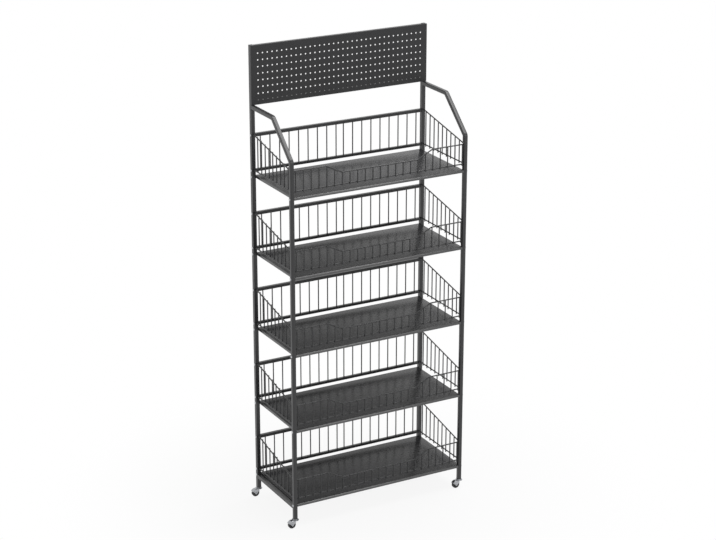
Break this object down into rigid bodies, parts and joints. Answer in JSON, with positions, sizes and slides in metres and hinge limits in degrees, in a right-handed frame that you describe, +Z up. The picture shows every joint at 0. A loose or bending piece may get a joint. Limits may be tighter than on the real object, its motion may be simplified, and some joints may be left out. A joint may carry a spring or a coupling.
{
  "type": "retail display rack",
  "caption": "Free-standing retail rack: bent tube side frames, sheet shelves inside wire guards, a perforated header board on plug-in legs, and swivel castors.",
  "frame": {"origin": "on the floor, under the middle of the whole outline with the castors turned to the left", "axes": "+Z up; +Y from the open front to the back; +X to the right as seen from the front"},
  "size_m": [0.78, 0.345, 1.829],
  "materials": {
    "frame_powder": "semi-gloss charcoal black powder coat",
    "header_powder": "semi-gloss charcoal black powder coat on perforated sheet",
    "shelf_powder": "semi-gloss charcoal black powder coat on sheet",
    "wire_powder": "semi-gloss charcoal black powder coat on welded wire",
    "zinc": "bright zinc plating",
    "bolt_zinc": "bright zinc plating on pan-head bolts",
    "nylon": "black moulded nylon",
    "tread": "black rubber-like tread on a moulded hub"
  },
  "bodies": {
    "frame": {"rear_upright_left": "frame_powder", "front_upright_left": "frame_powder", "shoulder_slope_left": "frame_powder", "shoulder_arm_left": "frame_powder", "bottom_rail_left": "frame_powder", "header_leg_left": "frame_powder", "rear_upright_right": "frame_powder", "front_upright_right": "frame_powder", "shoulder_slope_right": "frame_powder", "shoulder_arm_right": "frame_powder", "bottom_rail_right": "frame_powder", "header_leg_right": "frame_powder", "header_top_bar": "frame_powder", "header_bottom_bar": "frame_powder", "header_board": "header_powder", "header_leg_caps": "nylon", "shelf_1": "shelf_powder", "back_guard_1": "wire_powder", "front_guard_1": "wire_powder", "side_guard_left_1": "wire_powder", "side_guard_right_1": "wire_powder", "shelf_2": "shelf_powder", "back_guard_2": "wire_powder", "front_guard_2": "wire_powder", "side_guard_left_2": "wire_powder", "side_guard_right_2": "wire_powder", "shelf_3": "shelf_powder", "back_guard_3": "wire_powder", "front_guard_3": "wire_powder", "side_guard_left_3": "wire_powder", "side_guard_right_3": "wire_powder", "shelf_4": "shelf_powder", "back_guard_4": "wire_powder", "front_guard_4": "wire_powder", "side_guard_left_4": "wire_powder", "side_guard_right_4": "wire_powder", "shelf_5": "shelf_powder", "back_guard_5": "wire_powder", "front_guard_5": "wire_powder", "side_guard_left_5": "wire_powder", "side_guard_right_5": "wire_powder", "castor_stems": "zinc", "leg_plugs": "nylon", "shelf_bolts": "bolt_zinc", "guard_bolts": "bolt_zinc", "guard_rail_plugs": "nylon", "weld_nuts": "zinc", "header_screws": "bolt_zinc"},
    "castor_front_left": {"castor_hood_front_left": "zinc", "castor_axle_front_left": "zinc"},
    "wheel_front_left": {"castor_wheel_front_left": "tread"},
    "castor_front_right": {"castor_hood_front_right": "zinc", "castor_axle_front_right": "zinc"},
    "wheel_front_right": {"castor_wheel_front_right": "tread"},
    "castor_rear_left": {"castor_hood_rear_left": "zinc", "castor_axle_rear_left": "zinc"},
    "wheel_rear_left": {"castor_wheel_rear_left": "tread"},
    "castor_rear_right": {"castor_hood_rear_right": "zinc", "castor_axle_rear_right": "zinc"},
    "wheel_rear_right": {"castor_wheel_rear_right": "tread"}
  },
  "joints": [
    {"name": "swivel_front_left", "type": "hinge", "parent": "frame", "child": "castor_front_left", "pos_m": [-0.35905, -0.1585, 0.032], "axis": [0, 0, 1], "continuous": true},
    {"name": "spin_front_left", "type": "hinge", "parent": "castor_front_left", "child": "wheel_front_left", "pos_m": [-0.37405, -0.1585, 0.015], "axis": [0, 1, 0], "continuous": true},
    {"name": "swivel_front_right", "type": "hinge", "parent": "frame", "child": "castor_front_right", "pos_m": [0.37595, -0.1585, 0.032], "axis": [0, 0, 1], "continuous": true},
    {"name": "spin_front_right", "type": "hinge", "parent": "castor_front_right", "child": "wheel_front_right", "pos_m": [0.36095, -0.1585, 0.015], "axis": [0, 1, 0], "continuous": true},
    {"name": "swivel_rear_left", "type": "hinge", "parent": "frame", "child": "castor_rear_left", "pos_m": [-0.35905, 0.1585, 0.032], "axis": [0, 0, 1], "continuous": true},
    {"name": "spin_rear_left", "type": "hinge", "parent": "castor_rear_left", "child": "wheel_rear_left", "pos_m": [-0.37405, 0.1585, 0.015], "axis": [0, 1, 0], "continuous": true},
    {"name": "swivel_rear_right", "type": "hinge", "parent": "frame", "child": "castor_rear_right", "pos_m": [0.37595, 0.1585, 0.032], "axis": [0, 0, 1], "continuous": true},
    {"name": "spin_rear_right", "type": "hinge", "parent": "castor_rear_right", "child": "wheel_rear_right", "pos_m": [0.36095, 0.1585, 0.015], "axis": [0, 1, 0], "continuous": true}
  ]
}
